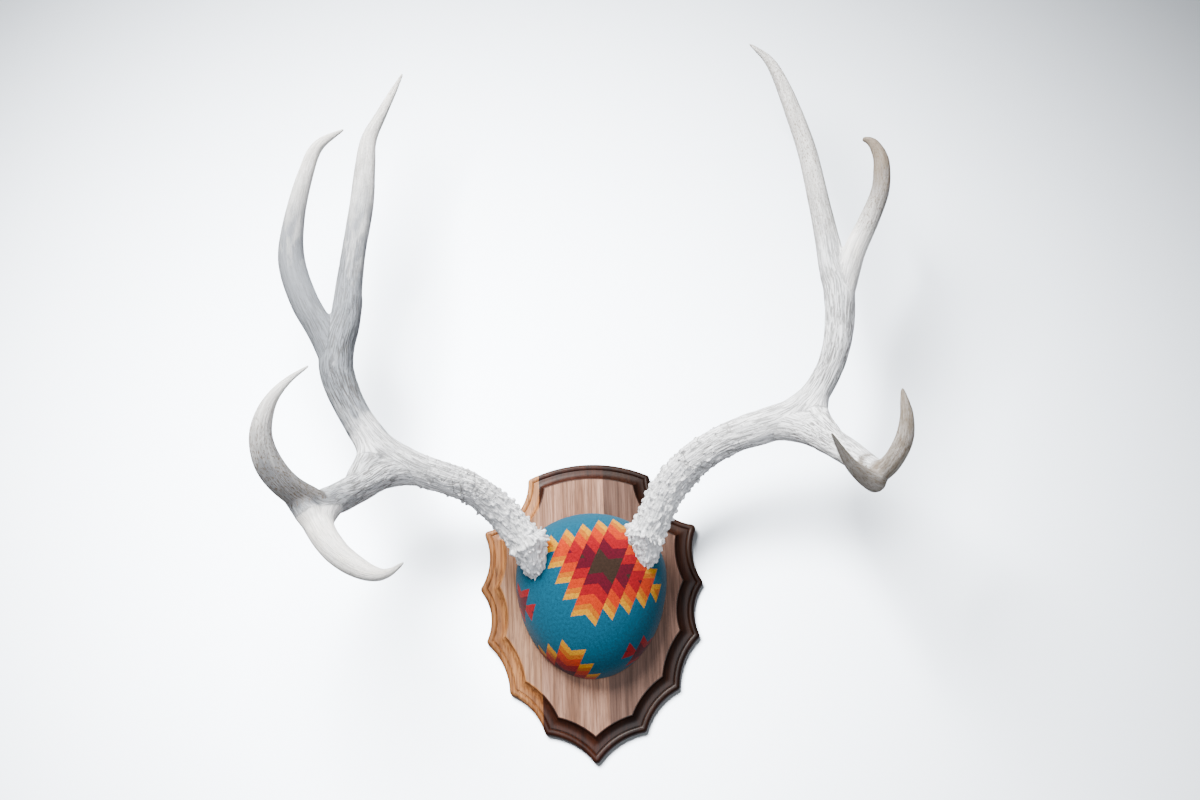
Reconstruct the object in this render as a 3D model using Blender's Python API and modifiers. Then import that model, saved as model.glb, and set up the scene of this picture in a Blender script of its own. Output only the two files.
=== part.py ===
"""Deer antler mount.

A pair of mule deer antlers on a blanket covered skull cap, fixed to a
scalloped walnut plaque that hangs on a wall.

The plaque's back is the wall plane, y = 0, and the trophy grows towards -Y.
+Z is up and the origin is the middle of the plaque's back. Sizes are in
millimetres and "left" is the viewer's left, towards -X.
"""
import math
import random

import bmesh
import bpy
from mathutils import Matrix, Vector
from mathutils.bvhtree import BVHTree

MM = 0.001
GAP = 0.3                      # clearance that neighbouring parts keep
WELD = 0.01                    # points closer than this are one point

# Plaque: a 12 x 8 3/4 inch board with a moulded, scalloped edge
PLAQUE_THICK = 19.0
ARCH_R, ARCH_Z = 143.0, 7.0    # the shallow arch along the top
ARCH_END = (62.0, 136.0)
NECK_R, NECK_AT = 50.0, (112.0, 133.0)
SHOULDER = (106.6, 79.0)
# The points down the right edge, and the depth of the scallop above each
POINTS = [(112.2, 24.0, 7.0), (106.6, -29.4, 8.0), (83.8, -80.8, 6.0),
          (49.4, -121.6, 6.0), (0.0, -153.0, 6.5)]
POINT_R = 4.0                  # the points are rounded off
ARC_STEPS, POINT_STEPS = 5, 2
# Edge moulding as (distance in from the edge, height above the wall):
# bead, quirk, cove and a small lip up to the flat field
MOULDING = [(0.0, 0.0), (0.0, 6.6), (0.9, 9.2), (2.6, 10.9), (4.6, 11.3),
            (6.6, 10.4), (7.4, 10.9), (9.6, 11.1), (12.4, 12.2),
            (14.8, 14.2), (16.4, 16.6), (17.0, 17.9), (18.0, 18.1),
            (18.2, PLAQUE_THICK)]

# Skull cap under the blanket: an egg shaped dome on the plaque
CAP_WIDE, CAP_UP, CAP_DOWN = 75.0, 63.0, 101.0
CAP_RISE, CAP_Z, CAP_POWER = 60.0, 30.0, 2.5
CAP_SIDES, CAP_RINGS = 40, 24

# Antlers: each limb's centre line and radius, as (x, y, z, r) stations
LEFT = {
    "beam": [(-50, -54, 17, 10.5), (-57, -71, 38, 13.5), (-60, -77, 53, 15),
             (-71, -84, 68, 16), (-85, -93, 84, 15.5),
             (-110, -113, 102, 15.5), (-139, -132, 110, 15.5),
             (-165, -148, 117, 15.8), (-192, -161, 133, 15),
             (-211, -168, 157, 15)],
    "rear_stem": [(-192, -161, 133, 14.5), (-211, -168, 157, 15),
                  (-224, -173, 183, 15.5), (-231, -178, 206, 16.5),
                  (-229, -182, 228, 16), (-222, -185, 252, 14.5),
                  (-219, -186, 275, 13.5)],
    "rear_inner_tine": [(-222, -185, 252, 14.5), (-216, -186, 312, 11.8),
                        (-209, -180, 370, 11.8), (-207, -173, 415, 10.2),
                        (-205, -165, 448, 8), (-194, -159, 478, 5.8),
                        (-184, -152, 505, 4), (-174, -147, 530, 1.6)],
    "rear_outer_tine": [(-231, -180, 208, 12), (-245, -187, 242, 13.5),
                        (-260, -194, 270, 13.5), (-271, -202, 308, 12.8),
                        (-267, -211, 348, 9.8), (-256, -216, 392, 7.5),
                        (-245, -217, 418, 5.8), (-221, -214, 436, 1.6)],
    "front_stem": [(-150, -137, 112, 12), (-174, -152, 111, 14),
                   (-192, -168, 103, 14.5), (-208, -195, 85, 14.2),
                   (-221, -232, 66, 13.6), (-231, -265, 54, 12.6),
                   (-243, -285, 57, 12)],
    "front_upper_tine": [(-231, -265, 54, 12.6), (-249, -296, 62, 12),
                         (-262, -313, 77, 12.3), (-267, -326, 96, 10.3),
                         (-264, -332, 114, 8.2), (-256, -334, 131, 5.6),
                         (-243, -333, 146, 3.4), (-227, -329, 159, 1.6)],
    "front_lower_tine": [(-220, -228, 68, 11), (-228, -264, 43, 13.8),
                         (-222, -286, 25, 12.3), (-206, -307, 3, 11),
                         (-188, -325, -13, 9.4), (-170, -342, -24, 6.8),
                         (-156, -352, -26, 4), (-142, -359, -19, 1.6)],
    "web": [(-214, -169, 156, 13), (-199, -173, 124, 14),
            (-208, -190, 92, 13.5)],
}
RIGHT = {
    "beam": [(51, -54, 27, 10.5), (56, -70, 46, 13.5), (56, -76, 59, 15.5),
             (65, -83, 77, 16.8), (75, -93, 95, 17.2),
             (91, -107, 112, 17.2), (111, -122, 126, 16.6),
             (142, -140, 138, 16), (170, -153, 143, 16.8),
             (194, -163, 149, 15.8), (213, -171, 163, 13.5)],
    "rear_stem": [(194, -163, 149, 14.5), (213, -171, 163, 13.5),
                  (229, -178, 185, 12.7), (238, -183, 208, 13.2),
                  (243, -186, 235, 14.1), (244, -188, 262, 14.6),
                  (239, -189, 290, 13.1), (237, -189, 312, 12)],
    "rear_inner_tine": [(241, -189, 275, 13.6), (237, -189, 309, 12),
                        (232, -186, 352, 10.5), (225, -178, 412, 9.6),
                        (215, -168, 462, 8.6), (206, -161, 498, 7),
                        (196, -154, 526, 5), (178, -148, 549, 1.6)],
    "rear_outer_tine": [(241, -186, 240, 9), (248, -190, 262, 11),
                        (259, -197, 296, 10.8), (275, -203, 327, 9.7),
                        (287, -207, 354, 8.8), (290.5, -209, 378, 8.2),
                        (289.5, -209, 391, 7.1), (285, -208, 403, 5.4),
                        (280, -207, 408, 4), (274.5, -206, 410, 2.4)],
    "front_stem": [(168, -152, 141, 12.5), (192, -163, 140, 15),
                   (211, -180, 129, 14.8), (224, -208, 110, 13),
                   (236, -238, 90, 12), (245, -264, 72, 11.2),
                   (251, -286, 61, 9.6)],
    "front_outer_tine": [(245, -264, 72, 11.2), (251, -286, 61, 9.6),
                         (260, -303, 64, 8.6), (270, -315, 80, 8.1),
                         (273, -321, 98, 6.2), (272, -322, 112, 4.2),
                         (271, -322, 124, 1.6)],
    "front_inner_tine": [(232, -230, 96, 8), (243, -265, 69, 9.6),
                         (247, -291, 51, 9.6), (234, -308, 53, 7.4),
                         (221, -324, 61, 5.1), (205, -349, 79, 1.6)],
    "web": [(222, -177, 178, 10.5), (216, -178, 146, 11.5),
            (226, -206, 113, 10.5)],
}
# Where a thin cut parts each limb from what it grows on: the station before
# the cut, how far past it, and how far the cut reaches round the limb
LEFT_CUTS = {"rear_stem": (1, 6, 25), "rear_inner_tine": (0, 5, 19),
             "rear_outer_tine": (1, 17, 19), "front_stem": (3, 6, 25),
             "front_upper_tine": (0, 21, 19), "front_lower_tine": (1, 14, 19)}
RIGHT_CUTS = {"rear_stem": (1, 6, 22), "rear_inner_tine": (1, 12, 18),
              "rear_outer_tine": (2, 21, 15), "front_stem": (2, 18, 21),
              "front_outer_tine": (2, 1, 14), "front_inner_tine": (2, 13, 13)}
LINE_STEP = 7.0                # spacing of points along a centre line
VOXEL, SOFTEN = 1.3, 8         # the fused limbs are remeshed and softened
LIMB_TRIS = 1900               # triangles they keep in one antler

# Burr: the knobby ring of bone at the beam's root, at this station
BURR_STATION, BURR_RING, BURR_KNOBS = 2, 3.6, 18
# Pearls: bumps spread from the pedicle over the lower beam, dense by the burr
PEARLS, PEARL_LENGTH, PEARL_WIDTH, PEARL_RISE = 84, 8.5, 5.2, 2.6
PEARLED = 0.72                 # the part of the beam that carries them
GOLDEN_TURN = math.radians(137.5)


def clear_scene():
    for ob in list(bpy.data.objects):
        bpy.data.objects.remove(ob, do_unlink=True)


def collection(name):
    made = bpy.data.collections.new(name)
    bpy.context.scene.collection.children.link(made)
    return made


def material(name, colour, roughness):
    made = bpy.data.materials.new(name)
    made.use_nodes = True
    shader = made.node_tree.nodes["Principled BSDF"]
    shader.inputs["Base Color"].default_value = (*colour, 1.0)
    shader.inputs["Roughness"].default_value = roughness
    shader.inputs["Metallic"].default_value = 0.0
    return made


def add_object(name, bm, into):
    """An object of the bmesh, which it frees, with its faces turned out."""
    bmesh.ops.recalc_face_normals(bm, faces=bm.faces[:])
    mesh = bpy.data.meshes.new(name)
    bm.to_mesh(mesh)
    bm.free()
    made = bpy.data.objects.new(name, mesh)
    into.objects.link(made)
    return made


def as_cutter(ob):
    ob.hide_render = True
    ob.display_type = "WIRE"


def evaluated(ob):
    """A new mesh of the object with its modifiers applied."""
    bpy.context.view_layer.update()
    graph = bpy.context.evaluated_depsgraph_get()
    return bpy.data.meshes.new_from_object(ob.evaluated_get(graph))


def apply_modifiers(ob):
    mesh = evaluated(ob)
    ob.modifiers.clear()
    ob.data = mesh


def combine(ob, others, operation):
    """One Boolean of the object with all that a collection holds."""
    step = ob.modifiers.new(operation.title(), "BOOLEAN")
    step.operand_type = "COLLECTION"
    step.collection = others
    step.operation = operation
    step.solver = "MANIFOLD"
    apply_modifiers(ob)


def empty(pieces):
    for ob in list(pieces.objects):
        bpy.data.objects.remove(ob)


def turned_to(centre, along, side=None):
    """A frame at centre with Z along a direction and X, if given, by side."""
    z = along.normalized()
    x = (side or z.orthogonal()).normalized()
    y = z.cross(x).normalized()
    x = y.cross(z)
    turn = Matrix((x, y, z)).transposed().to_4x4()
    return Matrix.Translation(centre * MM) @ turn


# Plaque
def scallop(a, b, depth):
    """The circle that bites depth deep between two points of the outline."""
    a, b = Vector(a[:2]), Vector(b[:2])
    chord = b - a
    radius = (chord.length_squared / 4 + depth * depth) / (2 * depth)
    out = Vector((-chord.y, chord.x)).normalized()
    return ((a + b) / 2 + out * (radius - depth), radius, -1)


def plaque_arcs():
    """The outline's arcs clockwise from the arch, and the end of each."""
    side = [SHOULDER] + POINTS
    right = [(Vector(NECK_AT), NECK_R, -1)]
    right += [scallop(above, below, below[2]) for above, below in zip(side, POINTS)]
    left = [(Vector((-c.x, c.y)), r, k) for c, r, k in reversed(right)]
    arcs = [(Vector((0.0, ARCH_Z)), ARCH_R, 1)] + right + left
    ends = [Vector(ARCH_END)] + [Vector(p[:2]) for p in side]
    ends += [Vector((-p.x, p.y)) for p in reversed(ends[:-1])]
    return arcs, ends


def crossing(one, two, near, inset):
    """Where two arcs meet once the outline is moved in by inset."""
    (c1, r1, k1), (c2, r2, k2) = one, two
    r1, r2 = r1 - k1 * inset, r2 - k2 * inset
    between = c2 - c1
    along = (r1 * r1 - r2 * r2 + between.length_squared) / (2 * between.length)
    foot = c1 + between.normalized() * along
    side = Vector((-between.y, between.x)).normalized()
    side *= math.sqrt(max(r1 * r1 - along * along, 0.0))
    return min((foot + side, foot - side), key=lambda p: (p - near).length)


def outward(arc, point):
    centre, _, kind = arc
    return ((point - centre) * kind).normalized()


def fan(start, end, steps):
    """Unit directions from start towards end the short way, end left out."""
    first = math.atan2(start.y, start.x)
    sweep = (math.atan2(end.y, end.x) - first + math.pi) % (2 * math.pi) - math.pi
    angles = [first + sweep * i / steps for i in range(steps)]
    return [Vector((math.cos(a), math.sin(a))) for a in angles]


def outline(inset):
    """The plaque's outline moved in by inset, its points rounded."""
    arcs, ends = plaque_arcs()
    rounding = max(POINT_R - inset, 0.0)
    corners = []
    for i, arc in enumerate(arcs):
        after = arcs[(i + 1) % len(arcs)]
        hub = crossing(arc, after, ends[i], max(inset, POINT_R))
        corners.append((hub, outward(arc, hub), outward(after, hub)))
    points = []
    for i, (centre, radius, kind) in enumerate(arcs):
        from_hub, _, leaving = corners[i - 1]
        hub, arriving, turning = corners[i]
        start = from_hub + leaving * rounding - centre
        end = hub + arriving * rounding - centre
        reach = radius - kind * inset
        points += [centre + way * reach for way in fan(start, end, ARC_STEPS)]
        points += [hub + way * rounding for way in fan(arriving, turning, POINT_STEPS)]
    return points


def make_plaque(name, into):
    """The board, lofted through its moulding from the back to the field."""
    bm = bmesh.new()
    rings = [[bm.verts.new((p.x * MM, -height * MM, p.y * MM)) for p in outline(inset)]
             for inset, height in MOULDING]
    for lower, upper in zip(rings, rings[1:]):
        for i in range(len(lower)):
            j = (i + 1) % len(lower)
            bm.faces.new((lower[i], lower[j], upper[j], upper[i]))
    bm.faces.new(rings[0])
    bm.faces.new(rings[-1])
    bmesh.ops.remove_doubles(bm, verts=bm.verts[:], dist=WELD * MM)
    bmesh.ops.triangulate(bm, faces=bm.faces[:])
    return add_object(name, bm, into)


# Skull cap
def make_cap(name, into, grow=0.0):
    """The dome, or with grow the same dome that much larger all round."""
    bm = bmesh.new()
    bmesh.ops.create_uvsphere(bm, u_segments=CAP_SIDES, v_segments=CAP_RINGS,
                              radius=1.0, matrix=Matrix.Rotation(math.pi / 2, 4, "X"))
    cut = bmesh.ops.bisect_plane(bm, geom=bm.verts[:] + bm.edges[:] + bm.faces[:],
                                 plane_no=(0, 1, 0), clear_outer=True, dist=1e-6)
    rim = [e for e in cut["geom_cut"] if isinstance(e, bmesh.types.BMEdge)]
    bmesh.ops.contextual_create(bm, geom=rim)
    power = 2.0 / CAP_POWER
    for v in bm.verts:
        x, y, z = v.co
        flat = max(math.hypot(x, z), 1e-9)
        spread = flat ** power / flat
        tall = (CAP_UP if z > 0 else CAP_DOWN) + grow
        rise = (CAP_RISE + grow) * max(-y, 0.0) ** power
        v.co = Vector(((CAP_WIDE + grow) * x * spread,
                       -(PLAQUE_THICK + GAP + rise),
                       CAP_Z + tall * z * spread)) * MM
    bmesh.ops.triangulate(bm, faces=bm.faces[:])
    return add_object(name, bm, into)


# Antlers
def centre_line(stations):
    """Catmull-Rom points through the stations, with their radii."""
    pts = [Vector(s) for s in stations]
    pts = [pts[0] * 2 - pts[1]] + pts + [pts[-1] * 2 - pts[-2]]
    line = []
    for a, b, c, d in zip(pts, pts[1:], pts[2:], pts[3:]):
        steps = max(1, round((c - b).to_3d().length / LINE_STEP))
        for t in (i / steps for i in range(steps)):
            line.append(0.5 * (2 * b + (c - a) * t + (2 * a - 5 * b + 4 * c - d) * t ** 2
                               + (3 * b - a - 3 * c + d) * t ** 3))
    return line + [pts[-2]]


def make_limb(name, stations, into):
    """A round limb that tapers as its stations say, as a closed mesh."""
    line = centre_line(stations)
    curve = bpy.data.curves.new(name, "CURVE")
    curve.dimensions = "3D"
    curve.bevel_depth = MM
    curve.bevel_resolution = 4
    curve.use_fill_caps = True
    spline = curve.splines.new("POLY")
    spline.points.add(len(line) - 1)
    for point, (x, y, z, radius) in zip(spline.points, line):
        point.co = (x * MM, y * MM, z * MM, 1.0)
        point.radius = max(radius, 1.2)
    guide = bpy.data.objects.new(name, curve)
    into.objects.link(guide)
    bm = bmesh.new()
    bm.from_mesh(evaluated(guide))
    bpy.data.objects.remove(guide)
    bmesh.ops.remove_doubles(bm, verts=bm.verts[:], dist=WELD * MM)
    return add_object(name, bm, into)


def make_bump(name, frame, size, into):
    """A faceted egg of full size (x, y, z) in the given frame."""
    bm = bmesh.new()
    scale = Matrix.Diagonal(Vector(size) * 0.5 * MM).to_4x4()
    bmesh.ops.create_icosphere(bm, subdivisions=1, radius=1.0, matrix=frame @ scale)
    return add_object(name, bm, into)


def add_burr(beam, draw, into):
    """The burr: a ring round the beam with knobs of uneven size on it."""
    centre = Vector(beam[BURR_STATION][:3])
    along = Vector(beam[BURR_STATION + 1][:3]) - Vector(beam[BURR_STATION - 1][:3])
    ring = beam[BURR_STATION][3] + 2.4
    frame = turned_to(centre, along)
    bpy.ops.mesh.primitive_torus_add(major_segments=24, minor_segments=8,
                                     major_radius=ring * MM, minor_radius=BURR_RING * MM)
    torus = bpy.context.object
    torus.data.transform(frame)
    for home in list(torus.users_collection):
        home.objects.unlink(torus)
    into.objects.link(torus)
    for i in range(BURR_KNOBS):
        angle = 2 * math.pi * (i + draw.uniform(-0.3, 0.3)) / BURR_KNOBS
        out = frame.to_3x3() @ Vector((math.cos(angle), math.sin(angle), 0.0))
        at = centre + out * (ring + 2.0) + along.normalized() * draw.uniform(-2.5, 2.5)
        size = (draw.uniform(7.0, 10.0), draw.uniform(4.5, 6.5), draw.uniform(6.0, 10.0))
        make_bump("knob", turned_to(at, along, out), size, into)


def add_pearls(whole, beam, draw, into):
    """Pearls on the skin of the lower beam, long ways along it."""
    skin = BVHTree.FromObject(whole, bpy.context.evaluated_depsgraph_get())
    line = [p.to_3d() for p in centre_line(beam)]
    last = (len(line) - 2) * PEARLED
    for i in range(PEARLS):
        place = 1.0 + (last - 1.0) * (i / PEARLS) ** 1.15
        step = int(place)
        centre = line[step].lerp(line[step + 1], place - step)
        along = (line[step + 1] - line[step]).normalized()
        round_beam = Matrix.Rotation(i * GOLDEN_TURN + draw.uniform(-0.3, 0.3), 3, along)
        out = round_beam @ along.orthogonal().normalized()
        hit = skin.ray_cast(centre * MM, out)[0]
        if hit is None:
            continue
        grown = draw.uniform(0.7, 1.25) * (1.15 - 0.4 * i / PEARLS)
        size = (2 * PEARL_RISE * grown, PEARL_WIDTH * grown, PEARL_LENGTH * grown)
        make_bump("pearl", turned_to(hit / MM, along, out), size, into)


def add_cuts(side, limbs, cuts, into):
    """Thin discs across the limbs; their thickness is the gap they leave."""
    for limb, (station, past, reach) in cuts.items():
        start, after = (Vector(s[:3]) for s in limbs[limb][station:station + 2])
        along = (after - start).normalized()
        bm = bmesh.new()
        bmesh.ops.create_cone(bm, cap_ends=True, segments=24, radius1=reach * MM,
                              radius2=reach * MM, depth=GAP * MM,
                              matrix=turned_to(start + along * past, along))
        as_cutter(add_object(f"{side}_{limb}_cut", bm, into))


def islands(bm):
    """The connected groups of a mesh's faces."""
    left, groups = set(bm.faces), []
    while left:
        group = [left.pop()]
        for face in group:
            for other in (f for e in face.edges for f in e.link_faces):
                if other in left:
                    left.discard(other)
                    group.append(other)
        groups.append(group)
    return groups


def split(whole, side, limbs, cuts, into):
    """One object for each part: the island whose skin is nearest a point in it."""
    bm = bmesh.new()
    bm.from_mesh(whole.data)
    bmesh.ops.triangulate(bm, faces=bm.faces[:])
    inside = {"beam": limbs["beam"][5]}
    inside.update((limb, limbs[limb][cut[0] + 2]) for limb, cut in cuts.items())
    groups = sorted(islands(bm), key=len, reverse=True)[:len(inside)]
    made = []
    for part, station in inside.items():
        middle = Vector(station[:3]) * MM
        group = min(groups, key=lambda faces: min(
            (f.calc_center_median() - middle).length for f in faces))
        piece = bmesh.new()
        copies = {v: piece.verts.new(v.co) for v in {v for f in group for v in f.verts}}
        for face in group:
            piece.faces.new([copies[v] for v in face.verts])
        made.append(add_object(f"antler_{side}_{part}", piece, into))
    bm.free()
    return made


def make_antler(side, limbs, cuts, cap_cutter, seed, into):
    """One antler: fused and softened, pearled, then parted at its forks."""
    draw = random.Random(seed)
    pieces = collection(side + "_pieces")
    whole = make_limb(side + "_antler", limbs["beam"], into)
    for limb in limbs:
        if limb != "beam":
            make_limb(limb, limbs[limb], pieces)
    combine(whole, pieces, "UNION")
    empty(pieces)

    remesh = whole.modifiers.new("Remesh", "REMESH")
    remesh.mode = "VOXEL"
    remesh.voxel_size = VOXEL * MM
    soften = whole.modifiers.new("Soften", "SMOOTH")
    soften.iterations = SOFTEN
    apply_modifiers(whole)
    whole.data.calc_loop_triangles()
    fewer = whole.modifiers.new("Fewer", "DECIMATE")
    fewer.ratio = LIMB_TRIS / len(whole.data.loop_triangles)
    apply_modifiers(whole)

    add_burr(limbs["beam"], draw, pieces)
    add_pearls(whole, limbs["beam"], draw, pieces)
    combine(whole, pieces, "UNION")
    empty(pieces)

    cutters = collection(side + "_cutters")
    add_cuts(side, limbs, cuts, cutters)
    cutters.objects.link(cap_cutter)
    combine(whole, cutters, "DIFFERENCE")
    made = split(whole, side, limbs, cuts, into)
    bpy.data.objects.remove(whole)
    return made


def main():
    clear_scene()
    mount = collection("deer_antler_mount")
    helpers = collection("cutters")
    walnut = material("walnut", (0.16, 0.075, 0.04), 0.35)
    blanket = material("wool_blanket", (0.02, 0.22, 0.33), 0.95)
    bone = material("antler", (0.62, 0.57, 0.49), 0.7)

    plaque = make_plaque("plaque", mount)
    plaque.data.materials.append(walnut)
    cap = make_cap("cap", mount)
    cap.data.materials.append(blanket)
    cap.data.shade_smooth()
    cap_cutter = make_cap("cap_cutter", helpers, grow=GAP)
    as_cutter(cap_cutter)

    antlers = make_antler("left", LEFT, LEFT_CUTS, cap_cutter, 4, mount)
    antlers += make_antler("right", RIGHT, RIGHT_CUTS, cap_cutter, 9, mount)
    for ob in antlers:
        ob.data.materials.append(bone)


main()
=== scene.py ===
# %% [markdown]
# # Deer antlers on a walnut plaque
#
# This notebook dresses a wall trophy: two mule deer antlers that grow out of
# a blanket covered skull cap, on a scalloped walnut plaque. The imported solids
# are loaded first, as a fixed frame that nothing here moves or resizes. Each
# piece made below takes the place of the solids it stands for.

# %% Load the frame
import math

import bmesh
import bpy
import numpy as np
from mathutils import Matrix, Vector


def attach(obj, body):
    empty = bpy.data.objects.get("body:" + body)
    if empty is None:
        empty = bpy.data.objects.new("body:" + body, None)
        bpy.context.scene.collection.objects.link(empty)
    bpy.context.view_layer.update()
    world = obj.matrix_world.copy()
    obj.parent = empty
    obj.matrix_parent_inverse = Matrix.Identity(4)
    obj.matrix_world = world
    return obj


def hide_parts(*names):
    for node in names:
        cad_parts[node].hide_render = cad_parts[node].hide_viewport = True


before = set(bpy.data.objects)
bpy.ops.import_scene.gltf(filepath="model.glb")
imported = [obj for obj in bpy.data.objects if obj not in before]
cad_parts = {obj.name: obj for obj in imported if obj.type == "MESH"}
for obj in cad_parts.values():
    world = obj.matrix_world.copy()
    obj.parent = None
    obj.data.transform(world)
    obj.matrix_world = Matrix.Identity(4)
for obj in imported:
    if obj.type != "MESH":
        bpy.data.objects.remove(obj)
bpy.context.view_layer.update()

MM = 0.001

# %% [markdown]
# ## The camera
#
# The photographer stood about 1.7 m from the wall, a little below the plaque,
# looked up by some 17 degrees and held the camera slightly turned, so the
# plaque leans to the left in the frame. A 50 mm lens gives that perspective.

# %% Camera at the photograph's angle
EYE = (0.030, -1.660, -0.293)
LOOK_UP, LOOK_LEFT, TILT = math.radians(17.22), math.radians(0.55), math.radians(-1.8)

camera = bpy.data.objects.new("camera", bpy.data.cameras.new("camera"))
camera.data.lens, camera.data.sensor_width = 50.0, 36.0
turn = (Matrix.Rotation(LOOK_LEFT, 4, "Z") @ Matrix.Rotation(math.pi / 2 + LOOK_UP, 4, "X")
        @ Matrix.Rotation(TILT, 4, "Z"))
camera.matrix_world = Matrix.Translation(EYE) @ turn
bpy.context.scene.collection.objects.link(camera)
bpy.context.scene.camera = camera
print("camera at", EYE, "m, looking up", round(math.degrees(LOOK_UP), 1), "degrees")

# %% [markdown]
# ## Helpers for materials
#
# Colours are written as the sRGB hex values a painter would pick, and one
# function turns them to the linear numbers that shaders use. Node trees are
# built with a single helper that adds a node, sets its properties and fills
# or links its inputs, so each tree below reads as a list of steps. The colour
# inputs of a Mix node are its numbers 6 and 7.

# %% Colour and node helpers
MATH, VECTOR_MATH, MIX = "ShaderNodeMath", "ShaderNodeVectorMath", "ShaderNodeMix"
NOISE, CELLS, RANGE = "ShaderNodeTexNoise", "ShaderNodeTexVoronoi", "ShaderNodeMapRange"


def linear(hex_colour):
    """An sRGB hex colour as linear RGBA."""
    values = [int(hex_colour[i:i + 2], 16) / 255 for i in (1, 3, 5)]
    return [v / 12.92 if v <= 0.04045 else ((v + 0.055) / 1.055) ** 2.4 for v in values] + [1.0]


def put(tree, kind, inputs=None, **settings):
    """Adds a node; an input given as a node or a socket is linked, else it is a value."""
    made = tree.nodes.new(kind)
    for name, value in settings.items():
        setattr(made, name, value)
    for key, value in (inputs or {}).items():
        if isinstance(value, bpy.types.Node):
            value = next(socket for socket in value.outputs if socket.enabled)
        if isinstance(value, bpy.types.NodeSocket):
            tree.links.new(value, made.inputs[key])
        else:
            made.inputs[key].default_value = value
    return made


def new_material(name, **shader_values):
    """A material, its tree and its Principled shader with constants set."""
    material = bpy.data.materials.new(name)
    material.use_nodes = True
    shader = material.node_tree.nodes["Principled BSDF"]
    for key, value in shader_values.items():
        shader.inputs[key.replace("_", " ")].default_value = value
    return material, material.node_tree, shader


def cover(tree, shader, colour, bump):
    """Gives the shader its colour and its relief."""
    tree.links.new(colour.outputs[2], shader.inputs["Base Color"])
    tree.links.new(bump.outputs[0], shader.inputs["Normal"])


print("helpers ready")

# %% Mesh helpers
def add_piece(name, bm, *materials):
    """An object at the origin from a bmesh, with its faces turned out."""
    bmesh.ops.recalc_face_normals(bm, faces=bm.faces[:])
    mesh = bpy.data.meshes.new(name)
    bm.to_mesh(mesh)
    bm.free()
    for material in materials:
        mesh.materials.append(material)
    piece = bpy.data.objects.new(name, mesh)
    bpy.context.scene.collection.objects.link(piece)
    return piece


def apply_modifiers(piece):
    """Turns what the modifiers make into the piece's own plain mesh."""
    bpy.context.view_layer.update()
    graph = bpy.context.evaluated_depsgraph_get()
    mesh = bpy.data.meshes.new_from_object(piece.evaluated_get(graph))
    piece.modifiers.clear()
    piece.data = mesh


def triangles(piece):
    """How many triangles a piece's mesh has."""
    piece.data.calc_loop_triangles()
    return len(piece.data.loop_triangles)


def settle(piece, slot, *nodes):
    """Puts a finished piece in the place of its solids."""
    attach(piece, "root")
    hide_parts(*nodes)
    print(piece.name, "has", triangles(piece), "triangles and replaces", len(nodes), "solids")

# %% [markdown]
# ## Wall, floor and light
#
# The trophy hangs on a white wall in a bright room. A window above the
# photographer's left shoulder models it, the pale room fills the shadows, and
# light from above whitens the tops of the beams. As in a studio, the wall has
# a light of its own, which throws the soft shadows and fades to the corners.
# Wall and floor are staging. They are see-through from behind, so that the
# plaque's back can be looked at too, and they throw no light back, which
# would wash out the relief.

# %% Stage
backdrop = bpy.data.collections.new("backdrop")
bpy.context.scene.collection.children.link(backdrop)
all_but_backdrop = bpy.data.collections.new("all_but_backdrop")
all_but_backdrop.children.link(backdrop)
all_but_backdrop.collection_children[0].light_linking.link_state = "EXCLUDE"


def stage_plane(name, corners, material):
    """One flat face of the room, which no light of the trophy reaches."""
    bm = bmesh.new()
    bm.faces.new([bm.verts.new(c) for c in corners])
    mesh = bpy.data.meshes.new(name)
    bm.to_mesh(mesh)
    bm.free()
    mesh.materials.append(material)
    plane = bpy.data.objects.new(name, mesh)
    plane.visible_diffuse = False
    plane.visible_glossy = False
    backdrop.objects.link(plane)


def paint_material(name, colour):
    """Matt wall paint that lets the eye through from its back."""
    material, tree, shader = new_material(name, Roughness=0.85)
    shader.inputs["Base Color"].default_value = linear(colour)
    side = put(tree, "ShaderNodeNewGeometry")
    clear = put(tree, "ShaderNodeBsdfTransparent")
    pick = put(tree, "ShaderNodeMixShader",
               {0: side.outputs["Backfacing"], 1: shader.outputs[0], 2: clear.outputs[0]})
    tree.links.new(pick.outputs[0], tree.nodes["Material Output"].inputs["Surface"])
    return material


WALL_Y, FLOOR_Z, ROOM = 0.0006, -1.35, 4.0      # the wall stands just clear of the board's back
skirting = [(-ROOM, WALL_Y, FLOOR_Z), (ROOM, WALL_Y, FLOOR_Z)]
stage_plane("wall", skirting + [(ROOM, WALL_Y, ROOM), (-ROOM, WALL_Y, ROOM)],
            paint_material("wall_paint", "#DADDE0"))
stage_plane("floor", [(-ROOM, -ROOM, FLOOR_Z), (ROOM, -ROOM, FLOOR_Z)] + skirting[::-1],
            paint_material("floor_paint", "#ECECEA"))
print("wall at y =", WALL_Y, "m, floor at z =", FLOOR_Z, "m")

# %% Lights
def area_light(name, place, target, size, watts, colour, lit=all_but_backdrop, spread=180):
    """A round soft light that shines on one collection alone."""
    light = bpy.data.lights.new(name, "AREA")
    light.shape, light.size, light.energy = "DISK", size, watts
    light.color, light.spread = linear(colour)[:3], math.radians(spread)
    lamp = bpy.data.objects.new(name, light)
    lamp.location = place
    lamp.rotation_euler = (Vector(target) - Vector(place)).to_track_quat("-Z", "Y").to_euler()
    bpy.context.scene.collection.objects.link(lamp)
    lamp.visible_camera = False
    lamp.light_linking.receiver_collection = lit
    return lamp


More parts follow.
